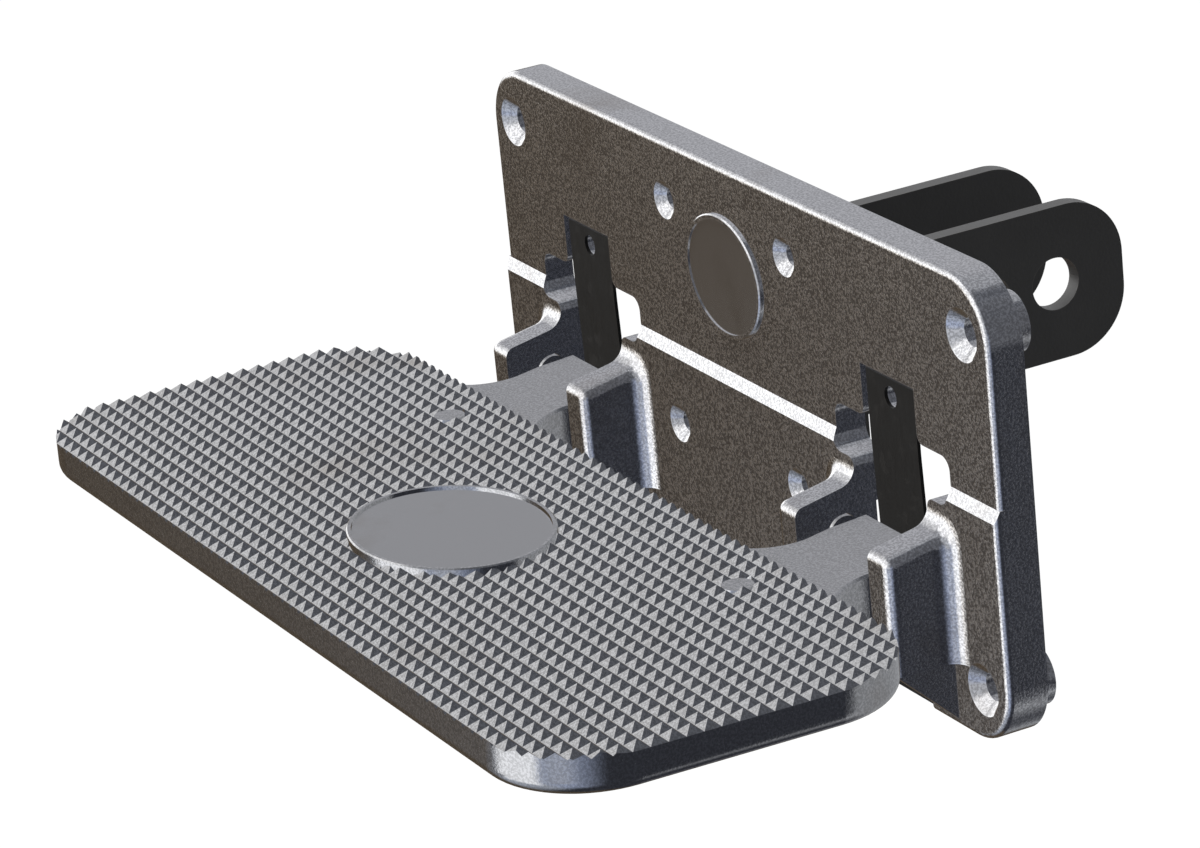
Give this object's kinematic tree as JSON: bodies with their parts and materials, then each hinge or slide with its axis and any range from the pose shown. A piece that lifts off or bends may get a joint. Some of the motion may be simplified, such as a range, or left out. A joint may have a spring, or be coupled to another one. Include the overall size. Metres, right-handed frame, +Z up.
{
  "type": "hitch receiver step",
  "caption": "Folding step for a tow hitch receiver: cast back plate, studded cast pad on trunnions, leaf springs and a welded bracket.",
  "frame": {"origin": "centre of the main hitch pin bore, midway between the two hitch bars", "axes": "+Y goes into the receiver tube, towards the vehicle; +Z is up; +X runs across the vehicle along the pin, so the step stands out along -Y"},
  "size_m": [0.3628, 0.2975, 0.146],
  "materials": {
    "cast_body": "textured cast metal, satin",
    "cast_pad": "textured cast metal, satin",
    "spring_steel": "gloss black",
    "black_steel": "satin black",
    "weld_metal": "satin black over weld ripples"
  },
  "bodies": {
    "frame": {"back_plate": "cast_body", "leaf_spring_left": "spring_steel", "leaf_spring_right": "spring_steel", "bracket_base": "black_steel", "hitch_bar_left": "black_steel", "hitch_bar_right": "black_steel", "bracket_welds": "weld_metal"},
    "step": {"step_pad": "cast_pad"}
  },
  "joints": [
    {"name": "step_fold", "type": "hinge", "parent": "frame", "child": "step", "pos_m": [0, -0.1103, -0.0395], "axis": [-1, 0, 0], "range_deg": [0, 88.9]}
  ]
}
